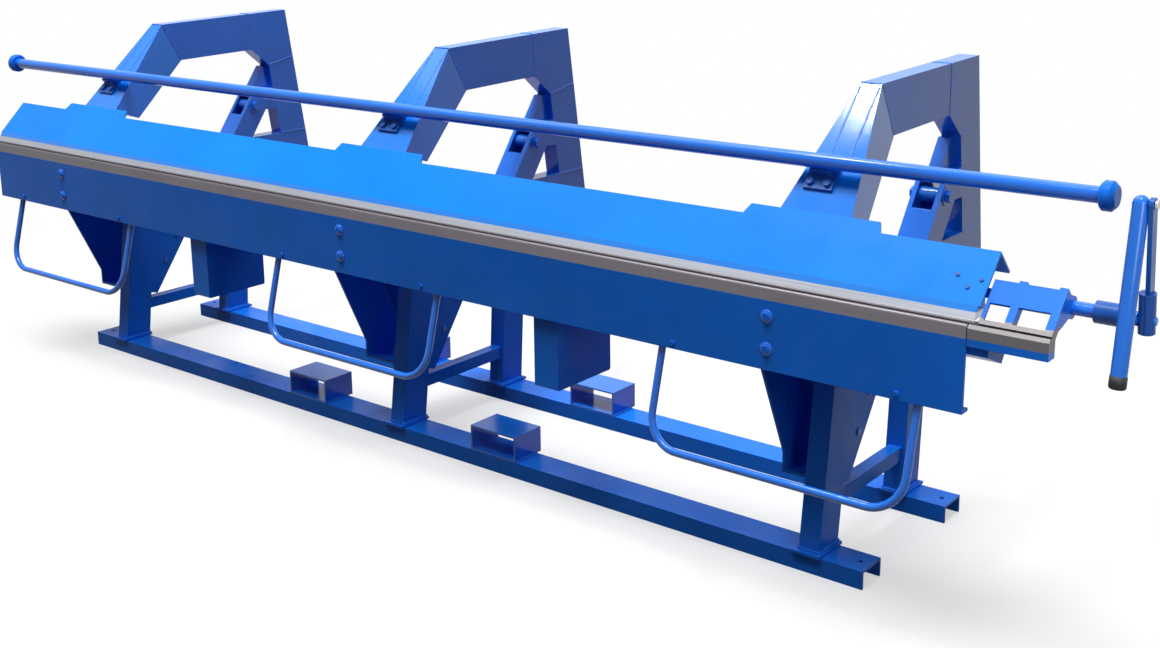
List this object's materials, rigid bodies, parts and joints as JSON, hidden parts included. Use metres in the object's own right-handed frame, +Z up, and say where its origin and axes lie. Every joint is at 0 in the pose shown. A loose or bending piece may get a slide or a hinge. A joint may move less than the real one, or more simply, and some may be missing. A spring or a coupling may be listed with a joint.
{
  "type": "roofing sheet metal folder",
  "caption": "Manual folding machine for long roofing sheets: sloping clamping beam on C-shaped frames, crank at one end, and a bending beam with bar handles.",
  "frame": {"origin": "on the rails' upper faces, at the centre of the four anchor holes", "axes": "+X along the machine to the crank end, +Y to the rear, +Z up"},
  "size_m": [4.524, 1.18, 1.262],
  "materials": {
    "blue_paint": "glossy",
    "bare_steel": "brushed",
    "black_paint": "satin"
  },
  "bodies": {
    "base": {"rail_front": "blue_paint", "rail_rear": "blue_paint", "fork_pocket_front_left": "blue_paint", "fork_pocket_front_right": "blue_paint", "fork_pocket_rear_left": "blue_paint", "fork_pocket_rear_right": "blue_paint", "foot_plates": "blue_paint", "tie_bars": "blue_paint", "front_leg_left": "blue_paint", "front_leg_middle": "blue_paint", "front_leg_right": "blue_paint", "rear_leg_left": "blue_paint", "rear_leg_middle": "blue_paint", "rear_leg_right": "blue_paint", "frame_left": "blue_paint", "frame_middle": "blue_paint", "frame_right": "blue_paint", "nose_arm_left": "blue_paint", "nose_arm_middle": "blue_paint", "nose_arm_right": "blue_paint", "brace_left": "blue_paint", "brace_middle": "blue_paint", "brace_right": "blue_paint", "lower_arm_left": "blue_paint", "lower_arm_middle": "blue_paint", "lower_arm_right": "blue_paint", "brace_bolts": "bare_steel", "link_bars": "blue_paint", "link_pins": "bare_steel", "lower_beam": "blue_paint", "jaw_bar": "bare_steel", "pivot_lug": "blue_paint", "pivot_pins": "bare_steel", "runout_frame": "blue_paint", "runout_bracket": "blue_paint", "front_tube": "blue_paint", "tube_end_caps": "blue_paint", "tube_brackets": "blue_paint", "bracket_bolts": "blue_paint", "crank_hangers": "blue_paint", "balance_box_left": "blue_paint", "balance_box_right": "blue_paint"},
    "upper_beam": {"upper_sheet": "blue_paint", "nose_bar": "bare_steel", "lift_yokes": "blue_paint", "end_screws": "bare_steel"},
    "clamp_crank": {"clamp_shaft": "bare_steel", "lift_cams": "bare_steel", "crank_sleeve": "blue_paint", "crank_hub": "black_paint", "crank_arm": "black_paint"},
    "crank_handle": {"handle_tube": "blue_paint", "handle_plug": "black_paint", "handle_pin": "bare_steel"},
    "bending_beam": {"bending_plate": "blue_paint", "blade_bar": "bare_steel", "hand_loop_left": "blue_paint", "hand_loop_middle": "blue_paint", "hand_loop_right": "blue_paint", "beam_bolts": "blue_paint"}
  },
  "joints": [
    {"name": "clamp_lift", "type": "slide", "parent": "base", "child": "upper_beam", "axis": [0, 0.7071, 0.7071], "range_m": [0, 0.0224]},
    {"name": "crank_turn", "type": "hinge", "parent": "base", "child": "clamp_crank", "pos_m": [0, -0.3265, 0.788], "axis": [1, 0, 0], "range_deg": [0, 150]},
    {"name": "handle_swing", "type": "hinge", "parent": "clamp_crank", "child": "crank_handle", "pos_m": [2.304, -0.36227, 1.0425], "axis": [-1, 0, 0], "range_deg": [0, 164]},
    {"name": "bend_turn", "type": "hinge", "parent": "base", "child": "bending_beam", "pos_m": [0, -0.4505, 0.74], "axis": [-1, 0, 0], "range_deg": [0, 130]}
  ],
  "couplings": [
    {"joint": "crank_turn", "follows": "clamp_lift", "rad_per_m": 116.8}
  ]
}
